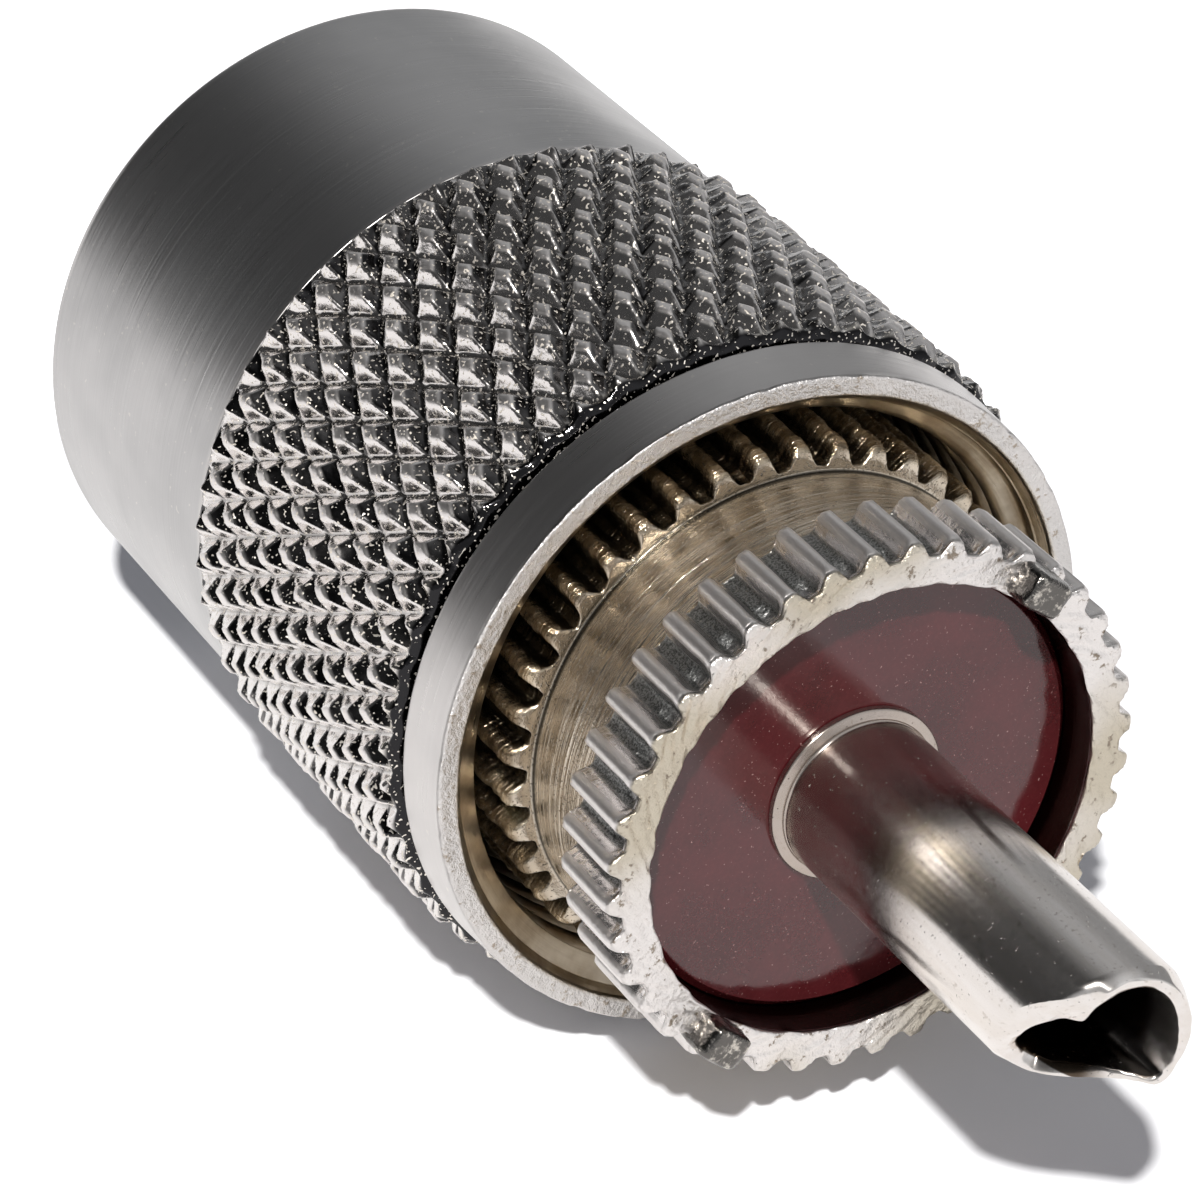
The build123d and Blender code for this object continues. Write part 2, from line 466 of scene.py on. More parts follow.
# %% Nut mesh
nut_section = section(
    [
        (sliding_bore, nut_base, 0.15, 2),
        (shell_radius, nut_base, 0.30, 12),
        (shell_radius, knurl_base, 0.05, 1),
        (core_radius, knurl_base + 0.12, 0.0, 1),
        (core_radius, knurl_top - 0.1, 0.0, 1),
        (undercut_radius, knurl_top + 0.02, 0.04, 2),
        (undercut_radius, ring_base, 0.05, 1),
        (ring_radius, ring_base, 0.10, 8),
        (ring_front_radius, nut_front, 0.09, 4),
        (rim_inside, nut_front, 0.06, 3),
        (mouth_bore, nut_front - 0.30, 0.08, 2),
        (thread_minor, nut_front - 0.60, 0.03, 190),
        (thread_minor, nut_shoulder, 0.10, 3),
        (sliding_bore, nut_shoulder, 0.10, 6),
    ]
)
nut_columns = 300
angle = np.linspace(0, 2 * np.pi, nut_columns, endpoint=False)[None, :]
radius, height = nut_section[:, :1], nut_section[:, 1:]
turn_phase = (height - thread_pitch * angle / (2 * np.pi)) / thread_pitch
wave = np.abs((turn_phase % 1.0) - 0.5) * 2
tooth = smooth_step(wave, 0.10, 0.88)
thread_end = nut_shoulder + thread_run_in
threaded = (radius < mouth_bore + 0.01) & (height > thread_end) & (height < nut_front - 0.25)
fade = smooth_step(height, thread_end, thread_end + thread_run_in)
cut_away = np.maximum(0, thread_minor + tooth * thread_depth - radius) * fade
nut_radius = radius + np.where(threaded, cut_away, 0)
near_rim = smooth_step(height, nut_front - 0.16, nut_front - 0.02) * (radius > rim_inside - 0.14)
nicks = np.minimum(0, ripple(angle, 0, seed=7, terms=14, fastest=90) + 0.25) * 0.022
nut_height = height + near_rim * (nicks + 0.012 * ripple(angle, 0, seed=3, terms=8, fastest=30))
outer_edge = radius > ring_front_radius - 0.12
nut_radius = nut_radius - near_rim * outer_edge * np.abs(nicks) * 1.2
coupling_nut = closed_grid(
    "coupling_nut_turned", wheel(nut_radius, nut_height, angle), "nut", "coupling_nut"
)

# %% [markdown]
# ## Diamond knurl
# A cut knurl is two families of V grooves that cross, 52 of each, at 29 degrees to the axis. One
# family winds like a right-hand thread and the other like a left-hand one, which is a little deeper.
# The points of the mesh lie in rows that are shifted by half a step, so that its edges run along both
# families and every ridge stays crisp. The grooves waver a little and fade out at both ends of the
# band. Both the mesh and the finish need the grooves, so their depths and widths are named once.

# %% Knurl mesh
starts = 52
right_hand = {"depth": 0.39, "half_width": 0.35}
left_hand = {"depth": 0.42, "half_width": 0.37}
knurl_crest = nut_high.x / MM
half_diamonds = 11
diamond_length = (knurl_top - knurl_base) * 2 / half_diamonds
fine = 12
row_step = diamond_length / (2 * fine)
row_count = half_diamonds * fine
column_count = starts * fine
row = np.arange(row_count + 1)[:, None]
knurl_angle = (2 * np.arange(column_count)[None, :] + row % 2) * np.pi / column_count
knurl_height = knurl_base + row * row_step


def groove(phase, depth, half_width):
    """Depth of a V groove whose middle is at whole numbers of the phase.

    The slope falls from 1 in the middle to 0 at half a width. The square root of its square and a small
    number turns the sharp edge of the groove into a slightly round one.
    """
    away = np.abs(phase - np.round(phase))
    slope = np.clip(1 - away / half_width, 0, 1)
    soft = 0.004
    lowest, highest = math.sqrt(soft), math.sqrt(1 + soft)
    return depth * (np.sqrt(slope**2 + soft) - lowest) / (highest - lowest)


turns = knurl_angle * starts / (2 * np.pi)
climb = (knurl_height - knurl_base) / diamond_length
wobble = 0.035 * ripple(knurl_angle, knurl_height, seed=11, terms=7, fastest=24)
right_cut = groove(turns - climb + 0.5 + wobble, **right_hand)
left_cut = groove(turns + climb + 0.5 - wobble * 0.6, **left_hand)
cut = (right_cut**6 + left_cut**6) ** (1 / 6)
worn = 0.012 * (1 + ripple(knurl_angle, knurl_height, seed=5, terms=12, fastest=160))
knurl_radius = knurl_crest - 0.004 - cut - np.clip(worn, 0, 0.03)
end = np.minimum(knurl_height - knurl_base, knurl_top - knurl_height)
run_out = smooth_step(end, 0.0, 0.42)
end_radius = 8.80
rear_edge, front_edge = 8.50, 8.44
knurl_radius = end_radius + (knurl_radius - end_radius) * run_out
knurl_radius[0] = rear_edge
knurl_radius[-1] = front_edge
outer = wheel(knurl_radius, knurl_height, knurl_angle)
liner = core_radius - 0.12
bottom = wheel(liner, knurl_base + 0.02, knurl_angle[:1])[0]
top = wheel(liner, knurl_top - 0.02, knurl_angle[-1:])[0]
vertices = np.concatenate([bottom[None], outer, top[None]])
lines = len(vertices)
index = np.arange(lines * column_count).reshape(lines, column_count)
low = np.arange(lines)[:, None]
leaning = (low > 0) & (low < lines - 2) & (low % 2 == 0)
a, b = index, np.roll(index, -1, 0)
a1, b1 = np.roll(a, -1, 1), np.roll(b, -1, 1)
first_half = np.stack([a, a1, np.where(leaning, b1, b)], -1)
second_half = np.stack([np.where(leaning, a, a1), b1, b], -1)
triangles = np.concatenate([first_half.reshape(-1, 3), second_half.reshape(-1, 3)])
knurl = piece_from(
    "coupling_nut_knurl", vertices.reshape(-1, 3), triangles, "nut"
)

# %% [markdown]
# ## Plug body
# The body is one turned bar with two splined bands: the flange, which sits just inside the nut's
# mouth, and the collar in front of it. Each band has 40 narrow teeth with wide flat roots. The teeth
# are a periodic function of the angle that takes material away from the turned section. At the front
# the roots rise to a low scalloped lip, where the milling cutter stopped.

# %% Body sizes in millimetres
collar_front = nut_front + 4.95
collar_base = collar_front - 2.20
neck_base = collar_base - 2.60
flange_base = neck_base - 3.40
teeth = 40
crest = 7.00
root = 6.50
neck_radius = 6.30
barrel_radius = 6.40
waist_radius = 6.10
barrel_length = 9.0
cable_bore = 5.20
cable_depth = 11.0
solder_bore = 4.60
seat_radius = 5.87
seat_floor = collar_front - 2.84
stem_radius = 5.02
stem_floor = 18.46
print("collar from", round(collar_base, 2), "to", round(collar_front, 2))

# %% Body mesh
body_section = section(
    [
        (cable_bore, 0, 0.10, 1),
        (barrel_radius, 0, 0.20, 1),
        (barrel_radius, barrel_length, 0.10, 1),
        (waist_radius, barrel_length, 0.05, 1),
        (waist_radius, flange_base, 0.10, 2),
        (crest, flange_base, 0.12, 14),
        (crest, neck_base, 0.42, 5),
        (neck_radius, neck_base, 0.06, 26),
        (neck_radius, collar_base, 0.06, 4),
        (crest, collar_base, 0.16, 16),
        (crest, collar_front, 0.24, 14),
        (seat_radius, collar_front, 0.07, 6),
        (seat_radius, seat_floor, 0.05, 1),
        (stem_radius, seat_floor, 0.05, 1),
        (stem_radius, stem_floor, 0.05, 1),
        (solder_bore, stem_floor, 0.05, 1),
        (solder_bore, cable_depth, 0.05, 1),
        (cable_bore, cable_depth, 0.05, 1),
    ],
    steps=4,
)
pitch = 360 / teeth
first_tooth = 2.6 + pitch / 2
# The mesh columns of one tooth, in degrees from its middle
offsets = np.array([-4.5, -3.5, -2.9, -2.3, -1.5, -0.8, 0, 0.8, 1.5, 2.3, 2.9, 3.5])
columns_deg = (np.arange(teeth)[:, None] * pitch + offsets[None, :]).ravel() + first_tooth
angle = np.radians(columns_deg)[None, :]
from_tooth = np.tile(offsets, teeth)[None, :]
radius, height = body_section[:, :1], body_section[:, 1:]
in_collar = (height > collar_base - 0.01) & (radius > neck_radius + 0.01)
in_flange = (
    (height > flange_base - 0.01) & (height < neck_base + 0.01) & (radius > waist_radius + 0.01)
)
ridge = 1 - smooth_step(np.abs(from_tooth), 0.7, 3.3)
ridge = 0.5 * ridge + 0.5 * np.clip((3.1 - np.abs(from_tooth)) / 2.0, 0, 1)
near_front = smooth_step(height, collar_front - 1.00, collar_front - 0.50)
lip = smooth_step(height, collar_front - 0.42, collar_front - 0.16)
floor_radius = root - 0.12 * near_front * (1 - lip) + 0.10 * lip
limit = floor_radius + (crest - floor_radius) * ridge
collar_radius = np.where(radius > limit, limit - (crest - radius) * 0.35 * (ridge + 0.15), radius)
collar_radius = np.minimum(radius, collar_radius)
flange_ridge = 1 - smooth_step(np.abs(from_tooth), 0.9, 3.5)
flange_root = root - 0.05
flange_limit = flange_root + (crest - flange_root) * flange_ridge
flange_limit = flange_limit + 0.035 * ripple(angle, height * 2, seed=51, terms=12, fastest=90) - 0.03
flange_radius = np.minimum(radius, flange_limit - (crest - radius) * 0.5 * flange_ridge)
body_radius = np.where(in_collar, collar_radius, np.where(in_flange, flange_radius, radius))
on_neck = (height > neck_base + 0.1) & (height < collar_base - 0.1) & (np.abs(radius - neck_radius) < 0.1)
body_radius = body_radius + on_neck * 0.012 * np.sin(height * 52 + 1.5 * np.sin(height * 9))
front_face = (height > collar_front - 0.02) & (radius > seat_radius - 0.01) & (radius < crest - 0.05)
burr = ripple(angle, radius * 3, seed=21, terms=14, fastest=90)
body_height = height + front_face * 0.020 * burr
inner_rim = smooth_step(height, collar_front - 0.12, collar_front - 0.01) * (radius < seat_radius + 0.18)
body_radius = body_radius + inner_rim * 0.035 * ripple(angle, 0, seed=23, terms=12, fastest=60)
plug_body = closed_grid(
    "plug_body_turned", wheel(body_radius, body_height, angle), "plug", "plug_body"
)

# %% [markdown]
# ## Index lugs
# Two lugs stand across the collar's wall, at opposite sides. They key into the notches of a jack and
# stop the plug from turning. Each is a rounded block. It is one closed surface: a direction on a sphere,
# scaled until the sum of the sixth powers of its three shares is one. A weak ripple makes it look cast.


# %% Lug meshes
lug_top = body_high.z / MM - collar_front
lug_outside = 6.78


def lug(name, turn):
    """Rounded block round a centre in the collar's wall, turned about the axis.

    The two ends of the sphere are one point each, and a fan of triangles closes the block there.
    """
    around = np.linspace(0, 2 * np.pi, 56, endpoint=False)[None, :]
    rise = np.linspace(0, np.pi, 34)[:, None]
    way = np.stack(
        np.broadcast_arrays(np.sin(rise) * np.cos(around), np.sin(rise) * np.sin(around), np.cos(rise))
    )
    size = (np.abs(way) ** 6).sum(0) ** (-1 / 6)
    dents = ripple(around, rise * 3, seed=41, terms=9, fastest=12)
    size = size * (1 + 0.02 * dents * np.sin(rise) ** 2)
    half = np.array([(lug_outside - seat_radius) / 2, 0.60, 0.62])
    middle = np.array([(lug_outside + seat_radius) / 2, 0, collar_front + lug_top - half[2]])
    block = (way * size).transpose(1, 2, 0) * half + middle
    c, s = math.cos(turn), math.sin(turn)
    x, y = block[..., 0] * c - block[..., 1] * s, block[..., 0] * s + block[..., 1] * c
    points = np.stack([x, y, block[..., 2]], -1)
    rows, count = points.shape[0] - 2, points.shape[1]
    index = np.arange(rows * count).reshape(rows, count)
    after = np.roll(index, -1, 1)
    top_end, low_end = np.full(count, rows * count), np.full(count, rows * count + 1)
    triangles = [
        np.stack([top_end, after[0], index[0]], -1),
        np.stack([index[:-1], after[:-1], after[1:]], -1).reshape(-1, 3),
        np.stack([index[:-1], after[1:], index[1:]], -1).reshape(-1, 3),
        np.stack([index[-1], after[-1], low_end], -1),
    ]
    vertices = np.concatenate([points[1:-1].reshape(-1, 3), points[:1, 0], points[-1:, 0]])
    return piece_from(name, vertices, np.concatenate(triangles), "plug")


lugs = [lug("index_lug_a", 0.045), lug("index_lug_b", math.pi - 0.02)]

# %% [markdown]
# ## Insulator
# The insulator is a moulded phenolic disc with a small bevel, set one millimetre back in the collar.
# It could stay as its CAD solid, but its round edges would show as short straight lines this close, so
# it is turned again with more columns.

# %% Insulator mesh
face = insulator_high.z / MM
pin_hole = 2.20
insulator_stem = 5.00
insulator_radius = 5.84
insulator_head = face - 1.80
bevel = 0.20
insulator_section = section(
    [
        (pin_hole, stem_floor, 0.02, 2),
        (insulator_stem, stem_floor, 0.05, 2),
        (insulator_stem, insulator_head, 0.02, 1),
        (insulator_radius, insulator_head, 0.05, 2),
        (insulator_radius, face - bevel, 0.03, 2),
        (insulator_radius - bevel, face, 0.04, 10),
        (pin_hole, face, 0.03, 2),
    ]
)
angle = np.linspace(0, 2 * np.pi, 256, endpoint=False)[None, :]
insulator = closed_grid(
    "insulator_moulded",
    wheel(insulator_section[:, :1], insulator_section[:, 1:], angle),
    "plug",
    "insulator",
)

# %% [markdown]
# ## Contact pin
# The pin is a drawn tube. A foot holds it behind the insulator and a bead in front. Its mouth was
# crimped after it was cut: the last millimetre is rolled in, and one side is pressed in so far that the
# mouth is a heart. The tube stays round up to there. A table gives, for some angles round the axis, the
# height where the straight wall ends, the rim's outer edge and its inner edge. Smooth curves join them.
# The mesh columns are spaced by the distance walked along the rim, so its sharp bends get more of them.

# %% Mouth of the pin
pin_radius = 1.98
bore_radius = 1.50
# Each row holds the degrees round the axis, the height where the wall ends, the radius and height of
# the outer edge, and the radius and height of the inner edge.
mouth_table = np.array(
    [
        (-171, 35.10, 1.84, 35.60, 1.45, 35.47),
        (-163, 35.20, 1.70, 35.95, 1.40, 35.82),
        (-155, 35.35, 1.57, 36.22, 1.27, 36.08),
        (-144, 35.55, 1.42, 36.55, 1.15, 36.42),
        (-130, 35.90, 1.32, 36.92, 1.09, 36.80),
        (-120, 36.20, 1.34, 37.15, 1.12, 37.02),
        (-110, 36.75, 1.50, 37.35, 1.25, 37.22),
        (-104, 37.12, 1.75, 37.46, 1.47, 37.32),
        (-99, 37.22, 1.80, 37.52, 1.58, 37.40),
        (-94, 37.24, 1.74, 37.60, 1.58, 37.47),
        (-78, 37.24, 1.53, 37.75, 1.45, 37.62),
        (-64, 37.24, 1.52, 37.83, 1.36, 37.70),
        (-51, 37.22, 1.52, 37.88, 1.29, 37.76),
        (-35, 37.20, 1.55, 37.93, 1.28, 37.80),
        (-20, 37.25, 1.62, 37.94, 1.34, 37.81),
        (-5, 37.38, 1.73, 37.90, 1.44, 37.77),
        (6, 37.46, 1.81, 37.83, 1.51, 37.72),
        (16, 37.50, 1.84, 37.75, 1.54, 37.61),
        (26, 37.50, 1.84, 37.69, 1.53, 37.54),
        (37, 37.46, 1.82, 37.63, 1.49, 37.49),
        (48, 37.44, 1.80, 37.61, 1.46, 37.46),
        (58, 37.45, 1.74, 37.59, 1.40, 37.42),
        (69, 37.44, 1.59, 37.47, 1.27, 37.30),
        (78, 37.37, 1.44, 37.32, 1.11, 37.20),
        (84, 37.27, 1.34, 37.18, 0.98, 37.10),
        (88, 37.12, 1.37, 37.09, 0.98, 37.07),
        (91, 36.97, 1.56, 36.98, 1.11, 37.04),
        (94, 36.80, 1.77, 36.86, 1.31, 36.94),
        (98, 36.61, 1.87, 36.66, 1.41, 36.85),
        (104, 36.38, 1.88, 36.46, 1.48, 36.74),
        (112, 36.16, 1.89, 36.25, 1.49, 36.51),
        (120, 35.96, 1.89, 36.04, 1.50, 36.30),
        (128, 35.76, 1.89, 35.85, 1.50, 36.12),
        (136, 35.60, 1.89, 35.70, 1.49, 35.96),
        (146, 35.44, 1.89, 35.55, 1.45, 35.74),
        (156, 35.30, 1.89, 35.44, 1.42, 35.55),
        (167, 35.16, 1.89, 35.37, 1.40, 35.40),
        (178, 35.06, 1.87, 35.42, 1.42, 35.36),
    ]
)
fine_turn = np.radians(np.arange(-180, 180, 0.25))
edge = np.interp(np.degrees(fine_turn), mouth_table[:, 0], mouth_table[:, 2], period=360)
step = np.hypot(np.diff(edge, append=edge[:1]), pin_radius * np.radians(0.25))
walked = np.concatenate([[0], np.cumsum(step)])
columns = 300
pin_angle = np.interp(np.arange(columns) / columns * walked[-1], walked[:-1], fine_turn)
kernel = np.hanning(7)[1:-1] / np.hanning(7)[1:-1].sum()


def round_the_mouth(column):
    """A column of the table at each of the pin's angles, smoothed over five neighbours."""
    value = np.interp(np.degrees(pin_angle), mouth_table[:, 0], mouth_table[:, column], period=360)
    return np.convolve(np.concatenate([value[-2:], value, value[:2]]), kernel, "valid")


wall_end, rim_radius, rim_height, hole_radius, hole_height = map(round_the_mouth, range(1, 6))
rim_height = rim_height + 0.012 * ripple(pin_angle, 0, seed=31, terms=8, fastest=20)
print("mouth heights", round(float(rim_height.min()), 2), "to", round(float(rim_height.max()), 2))


# %% Pin mesh
def bend(points, rows):
    """Rows of a Bezier curve, one curve for each angle.

    The control points are arrays of (radius, height). At a share t of the way, neighbours are joined at
    that share of their distance, again and again, until one point is left.
    """
    t = np.linspace(0, 1, rows)[:, None, None]
    while len(points) > 1:
        points = [a * (1 - t) + b * t for a, b in zip(points, points[1:])]
    return points[0]


def pair(radius, height):
    """Radius and height arrays as points, one for each angle."""
    return np.stack(np.broadcast_arrays(radius + 0 * pin_angle, height + 0 * pin_angle), -1)


bead_radius = 2.25
stem_in_hole = 2.18
foot_radius = 3.00
foot_low = pin_low.z / MM
stem_section = section(
    [
        (pin_radius, face + 0.27, 0.05, 1),
        (bead_radius, face + 0.17, 0.07, 2),
        (bead_radius, face + 0.01, 0.03, 1),
        (stem_in_hole, face, 0.0, 1),
        (stem_in_hole, stem_floor, 0.02, 2),
        (foot_radius, stem_floor, 0.05, 2),
        (foot_radius, foot_low, 0.05, 2),
        (bore_radius, foot_low, 0.05, 1),
    ]
)[:-1]
wall_base = face + 0.40
crimp_base = 34.40
bore_start = 33.0
rim = pair(rim_radius, rim_height)
hole = pair(hole_radius, hole_height)
corner = pair(pin_radius, wall_end)
rolled = np.clip(1.92 - rim_radius, 0.07, 0.34)
rolled = np.convolve(np.concatenate([rolled[-10:], rolled, rolled[:10]]), np.full(21, 1 / 21), "valid")
shoulder = pair(pin_radius, wall_end - rolled)
onward = (rim - corner) / np.linalg.norm(rim - corner, axis=-1)[..., None]
fold = np.array([0, 0.10])
pin_rows = [
    wheel(stem_section[::-1, :1], stem_section[::-1, 1:], pin_angle[None, :]),
    bend([pair(pin_radius, wall_base), pair(pin_radius, crimp_base)], 14),
    bend([pair(pin_radius, crimp_base), shoulder], 8)[1:],
    bend([shoulder, corner - (0, 0.03), rim], 16)[1:],
    bend([rim, rim + onward * 0.11, hole + fold, hole], 10)[1:],
    bend([hole, hole - (0, 0.45), pair(bore_radius, wall_end - 1.5), pair(bore_radius, bore_start)], 16)[1:],
    bend([pair(bore_radius, bore_start), pair(bore_radius, foot_low + 0.4)], 12)[1:],
]
pin_points = np.concatenate(
    [pin_rows[0]] + [wheel(rows[..., 0], rows[..., 1], pin_angle[None, :]) for rows in pin_rows[1:]]
)
pin_points[..., 2] = np.minimum(pin_points[..., 2], pin_high.z / MM - 0.01)
contact_pin = closed_grid("contact_pin_drawn", pin_points, "plug", "contact_pin")

# %% [markdown]
# ## Finishes
# Nickel plate is a warm light grey metal. What tells the surfaces apart is how they were made and how
# they have aged, with painted shade in the hollows. The shell is brushed round the axis. The knurl is
# bright, with painted shade on its groove floors, darkest on one family of grooves and in the undercut
# beside the front ring, and small lamp sparkles whose lighter colour is a painted glint. The flange and
# the neck have gone golden, with painted shade between the flange's teeth and in the corner at its front.
# The spline roots are matt and grainy, the dark wall round the insulator is painted shade, and the pin
# is drawn and nearly polished, darker brown towards its foot and painted dark inside its mouth as shade.
# Each finish changes roughness, colour and a fine bump by position. Heights and radii pick out each
# surface, so no picture has to be wrapped round it.

# %% [markdown]
# ### Brushed nickel
# A file or a belt leaves fine lines round a turned shell. Noise that is squeezed hard along Z gives
# rings of that kind. They feed the roughness and a very low bump, and anisotropy stretches the
# highlights. The rim is pitted, the thread inside is brown with age, and the undercut beside the front
# ring is painted near black as shade.

# %% Brushed nut
# Near black, painted as shade in the undercut and on the knurl's groove floors.
painted_shade_black = (0.035, 0.034, 0.036)


def ring_lines(graph, vector, fine_scale, seed=0.0):
    """Fine lines round Z: noise that is squeezed hard along Z."""
    return graph.noise(vector, fine_scale, 3.0, 0.65, (0.02, 0.02, 1.0 + seed))


nut_metal, graph = new_material("satin_nickel")
vector, (x, y, z) = graph.place()
distance = (x * x + y * y) ** 0.5
lines = ring_lines(graph, vector, 9000)
broad = ring_lines(graph, vector, 1800, 0.3)
cloud = graph.noise(vector, 260, 3.0, 0.6)
stain = graph.noise(vector, 900, 3.0, 0.6).ramp(0.35, 0.7)
pits = graph.noise(vector, 3200, 4.0, 0.7)
specks = graph.noise(vector, 5200, 1.0, 0.5).ramp(0.72, 0.77)
on_rim = z.ramp((nut_front - 0.10) * MM, (nut_front - 0.03) * MM)
inside = distance.ramp((rim_inside - 0.14) * MM, (rim_inside + 0.11) * MM, 1.0, 0.0)
rough = 0.22 + lines * 0.14 + cloud.ramp(0.35, 0.75) * 0.05 + on_rim * 0.12
tint = graph.mix(cloud.ramp(0.3, 0.7), (0.720, 0.690, 0.675), (0.660, 0.637, 0.625))
on_shell = z.ramp((knurl_base - 0.2) * MM, knurl_base * MM, 1.0, 0.0)
shell_tint = graph.mix(cloud.ramp(0.3, 0.7), (0.600, 0.585, 0.580), (0.530, 0.520, 0.518))
tint = graph.mix(on_shell, tint, shell_tint)
# Painted shade: the undercut beside the front ring is painted near black.
undercut_shade = z.ramp((knurl_top - 0.20) * MM, (knurl_top - 0.10) * MM)
undercut_shade = undercut_shade * distance.ramp((core_radius - 0.15) * MM, core_radius * MM)
undercut_shade = undercut_shade * z.ramp((ring_base - 0.01) * MM, (ring_base + 0.04) * MM, 1.0, 0.0)
tint = graph.mix(undercut_shade, tint, painted_shade_black)
tint = graph.mix(specks * 0.4, tint, (0.86, 0.82, 0.76))
tint = graph.mix(on_rim * pits.ramp(0.58, 0.66), tint, (0.42, 0.36, 0.30))
tint = graph.mix(inside, tint, graph.mix(stain, (0.66, 0.60, 0.50), (0.42, 0.35, 0.26)))
normal = graph.bump(lines + broad * 0.6, 0.014, 0.65)
normal = graph.bump(pits * on_rim, 0.12, 0.9, normal)
graph.surface(Base_Color=tint, Metallic=1.0, Roughness=rough, Normal=normal, Anisotropic=0.55)
coupling_nut.data.materials.append(nut_metal)

# %% [markdown]
# ### Knurled nickel
# Painted shade lies on the floors of one family of grooves, so the finish has to know where they are.
# The turn about the axis and the height give the same two phases as in the mesh. The colour is painted
# darker towards the groove floors, and near black as shade where the knurl runs out beside the front
# ring, with light patches just before that end as a painted glint. The crests are worn and a little
# matt, and tiny spots of rough plate catch the lamp; their lighter colour is a painted glint.

# %% Knurl
knurl_metal, graph = new_material("knurled_nickel")
vector, (x, y, z) = graph.place()
distance = (x * x + y * y) ** 0.5
depth_share = distance.ramp((knurl_crest - 0.52) * MM, (knurl_crest - 0.32) * MM)
azimuth = graph.node("ShaderNodeMath", {"operation": "ARCTAN2"}, {0: y, 1: x})
knurl_turns = azimuth * (starts / (2 * math.pi))
knurl_climb = (z - knurl_base * MM) / (diamond_length * MM)


def groove_depth(phase, depth, half_width):
    """The same V groove as in the mesh, worked out from the place in the shader.

    It is the depth times one less the distance to the groove's middle over half its width. A whole
    number keeps the phase above zero, and Ping-Pong folds it into the distance to the nearest middle.
    """
    away = graph.node("ShaderNodeMath", {"operation": "PINGPONG"}, {0: phase + 100.0, 1: 0.5})
    return (half_width - (0.5 - away)) * (depth / half_width)


right_groove = groove_depth(knurl_turns - knurl_climb, **right_hand)
left_groove = groove_depth(knurl_turns + knurl_climb, **left_hand)
# Painted shade on the floors of one family of grooves.
groove_floor_shade = right_groove.ramp(0.02, 0.10) * (right_groove - left_groove).ramp(-0.02, 0.05)
grain = graph.noise(vector, 7000, 3.0, 0.6)
dust = graph.noise(vector, 900, 3.0, 0.6).ramp(0.35, 0.7)
sparks = graph.noise(vector, 12500, 0.0, 0.5).ramp(0.675, 0.73)
# Painted shade: the knurl's colour darkens towards the groove floors.
tint = graph.mix(depth_share, (0.16, 0.152, 0.145), (0.86, 0.82, 0.80))
tint = graph.mix(groove_floor_shade * (1 - dust * 0.25), tint, painted_shade_black)
tint = graph.mix(dust * (1 - depth_share) * 0.6, tint, (0.05, 0.048, 0.045))
# Painted glint: light warm patches near the knurl's front end, shaped by the dust noise.
front_glint_band = z.ramp((knurl_top - 0.40) * MM, (knurl_top - 0.25) * MM)
tint = graph.mix(front_glint_band * dust * 0.8, tint, (0.86, 0.80, 0.72))
end_shadow = z.ramp((knurl_top - 0.26) * MM, (knurl_top - 0.14) * MM)
tint = graph.mix(end_shadow, tint, painted_shade_black)
on_top = distance.ramp((knurl_crest - 0.12) * MM, (knurl_crest - 0.04) * MM)
rough = 0.12 + grain * 0.09 + (1 - depth_share) * 0.10 + on_top * 0.22
rough = rough + sparks * 0.32 - end_shadow * 0.08
normal = graph.bump(grain, 0.01, 0.7)
normal = graph.bump(sparks, 0.04, 1.0, normal)
# Painted glint: the rough specks are also painted lighter than the plate.
tint = graph.mix(sparks, tint, (0.96, 0.90, 0.82))
graph.surface(Base_Color=tint, Metallic=1.0, Roughness=rough, Normal=normal)
knurl.data.materials.append(knurl_metal)

# %% [markdown]
# ### Plated body
# One piece carries several surfaces: the golden flange and neck with their turning marks, the collar's
# bright teeth, its grainy roots, its pitted front face and the wall round the insulator, which is painted
# dark as shade. Painted shade also darkens the gaps between the flange's teeth and the corner at the
# flange's front. Ramps on the height and on the distance from the axis tell them apart.

# %% Body
body_metal, graph = new_material("plated_body")
vector, (x, y, z) = graph.place()
distance = (x * x + y * y) ** 0.5
in_collar = z.ramp((collar_base - 0.1) * MM, (collar_base + 0.1) * MM)
on_face = z.ramp((collar_front - 0.12) * MM, (collar_front - 0.04) * MM)
in_root = distance.ramp((root + 0.02) * MM, (root + 0.14) * MM, 1.0, 0.0)
in_root = in_root * distance.ramp((root - 0.15) * MM, (root - 0.08) * MM) * in_collar * (1 - on_face)
# Painted shade: the wall round the insulator is painted dark.
bore_shade = distance.ramp((seat_radius + 0.01) * MM, (seat_radius + 0.07) * MM, 1.0, 0.0)
bore_shade = bore_shade * (1 - z.ramp((collar_front - 0.18) * MM, (collar_front - 0.06) * MM))
stain = graph.noise(vector, 700, 3.0, 0.6).ramp(0.3, 0.7)
turning = ring_lines(graph, vector, 7000)
grain = graph.noise(vector, 6500, 4.0, 0.7)
pits = graph.noise(vector, 2600, 4.0, 0.7)
golden = graph.mix(stain * 0.6 + turning * 0.4, (0.84, 0.76, 0.65), (0.56, 0.47, 0.36))
patchy = graph.noise(vector, 1700, 3.0, 0.6).ramp(0.42, 0.60)
on_flange = z.ramp((neck_base - 0.10) * MM, (neck_base + 0.02) * MM, 1.0, 0.0)
golden = graph.mix(on_flange, golden, graph.mix(patchy, (0.66, 0.54, 0.39), (0.27, 0.205, 0.135)))
# Painted shade: a dark line in the corner at the flange's front.
flange_corner_shade = z.ramp((neck_base - 0.02) * MM, (neck_base + 0.04) * MM)
flange_corner_shade = flange_corner_shade * z.ramp((neck_base + 0.10) * MM, (neck_base + 0.20) * MM, 1.0, 0.0)
golden = graph.mix(flange_corner_shade * 0.9, golden, (0.03, 0.026, 0.02))
below_neck = z.ramp((neck_base - 0.1) * MM, neck_base * MM, 1.0, 0.0)
